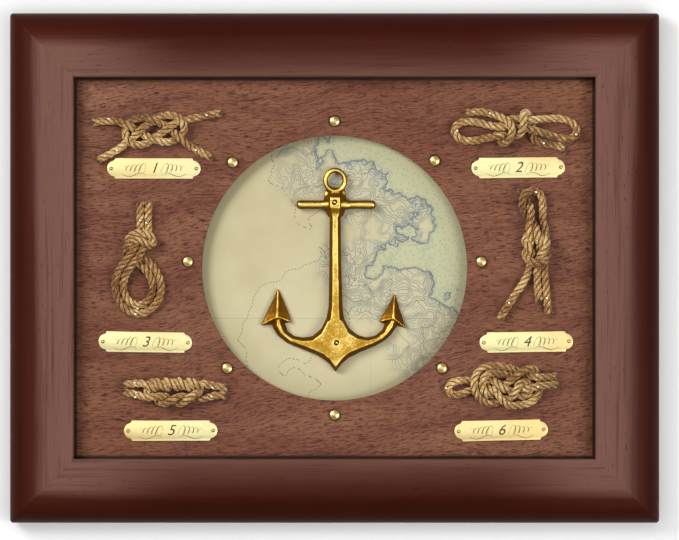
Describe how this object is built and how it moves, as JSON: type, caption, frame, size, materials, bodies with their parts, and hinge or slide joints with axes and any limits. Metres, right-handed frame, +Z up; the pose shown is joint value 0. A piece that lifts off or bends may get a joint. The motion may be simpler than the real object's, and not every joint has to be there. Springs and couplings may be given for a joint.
{
  "type": "sailors' knot display board",
  "caption": "Framed wall board of tied rope knots with brass plates, pinned round a cast brass anchor in a round chart window.",
  "frame": {"origin": "middle of the top rail's back face, where it meets the wall", "axes": "+X to the right seen from the front, +Y towards the wall, +Z up; the front looks along -Y"},
  "size_m": [0.4, 0.0314, 0.314],
  "materials": {
    "frame_wood": "dark mahogany stain under satin lacquer",
    "panel_wood": "mahogany veneer, satin, fine open grain",
    "chart_paper": "aged cream chart paper printed in grey-blue line, on card",
    "backing_wood": "bare plywood",
    "polished_brass": "polished",
    "cast_brass": "cast and tumbled, tarnished in the hollows",
    "jute_rope": "three-strand laid natural cord",
    "plated_steel": "zinc plated"
  },
  "bodies": {
    "board": {"top_rail": "frame_wood", "bottom_rail": "frame_wood", "left_rail": "frame_wood", "right_rail": "frame_wood", "knot_panel": "panel_wood", "chart_card": "chart_paper", "backing_board": "backing_wood", "dome_tack_1": "polished_brass", "dome_tack_2": "polished_brass", "dome_tack_3": "polished_brass", "dome_tack_4": "polished_brass", "dome_tack_5": "polished_brass", "dome_tack_6": "polished_brass", "dome_tack_7": "polished_brass", "dome_tack_8": "polished_brass", "name_plate_1": "polished_brass", "name_plate_2": "polished_brass", "name_plate_3": "polished_brass", "name_plate_4": "polished_brass", "name_plate_5": "polished_brass", "name_plate_6": "polished_brass", "plate_pin_1_left": "polished_brass", "plate_pin_1_right": "polished_brass", "plate_pin_2_left": "polished_brass", "plate_pin_2_right": "polished_brass", "plate_pin_3_left": "polished_brass", "plate_pin_3_right": "polished_brass", "plate_pin_4_left": "polished_brass", "plate_pin_4_right": "polished_brass", "plate_pin_5_left": "polished_brass", "plate_pin_5_right": "polished_brass", "plate_pin_6_left": "polished_brass", "plate_pin_6_right": "polished_brass", "anchor_nail_hub": "polished_brass", "anchor_nail_crown": "polished_brass", "brass_anchor": "cast_brass", "carrick_bend_left_rope": "jute_rope", "carrick_bend_right_rope": "jute_rope", "sheepshank_rope": "jute_rope", "bowline_rope": "jute_rope", "reef_knot_upper_rope": "jute_rope", "reef_knot_lower_rope": "jute_rope", "surgeons_knot_left_rope": "jute_rope", "surgeons_knot_right_rope": "jute_rope", "figure_eight_rope": "jute_rope", "top_left_button_screw": "plated_steel", "top_right_button_screw": "plated_steel", "bottom_left_button_screw": "plated_steel", "bottom_right_button_screw": "plated_steel", "left_hanger_strap": "plated_steel", "right_hanger_strap": "plated_steel", "left_hanger_screw": "plated_steel", "right_hanger_screw": "plated_steel"},
    "left_hanging_ring": {"left_hanging_ring": "plated_steel"},
    "right_hanging_ring": {"right_hanging_ring": "plated_steel"},
    "top_left_turn_button": {"top_left_turn_button": "plated_steel"},
    "top_right_turn_button": {"top_right_turn_button": "plated_steel"},
    "bottom_left_turn_button": {"bottom_left_turn_button": "plated_steel"},
    "bottom_right_turn_button": {"bottom_right_turn_button": "plated_steel"}
  },
  "joints": [
    {"name": "left_ring_hinge", "type": "hinge", "parent": "board", "child": "left_hanging_ring", "pos_m": [-0.1832, 0.0024, -0.0452], "axis": [-1, 0, 0], "range_deg": [0, 170]},
    {"name": "right_ring_hinge", "type": "hinge", "parent": "board", "child": "right_hanging_ring", "pos_m": [0.1832, 0.0024, -0.0452], "axis": [-1, 0, 0], "range_deg": [0, 170]},
    {"name": "top_left_button_pivot", "type": "hinge", "parent": "board", "child": "top_left_turn_button", "pos_m": [-0.1794, 0.0009, -0.0952], "axis": [0, 1, 0], "range_deg": [-90, 90]},
    {"name": "top_right_button_pivot", "type": "hinge", "parent": "board", "child": "top_right_turn_button", "pos_m": [0.1794, 0.0009, -0.0952], "axis": [0, 1, 0], "range_deg": [-90, 90]},
    {"name": "bottom_left_button_pivot", "type": "hinge", "parent": "board", "child": "bottom_left_turn_button", "pos_m": [-0.1794, 0.0009, -0.1852], "axis": [0, 1, 0], "range_deg": [-90, 90]},
    {"name": "bottom_right_button_pivot", "type": "hinge", "parent": "board", "child": "bottom_right_turn_button", "pos_m": [0.1794, 0.0009, -0.1852], "axis": [0, 1, 0], "range_deg": [-90, 90]}
  ]
}
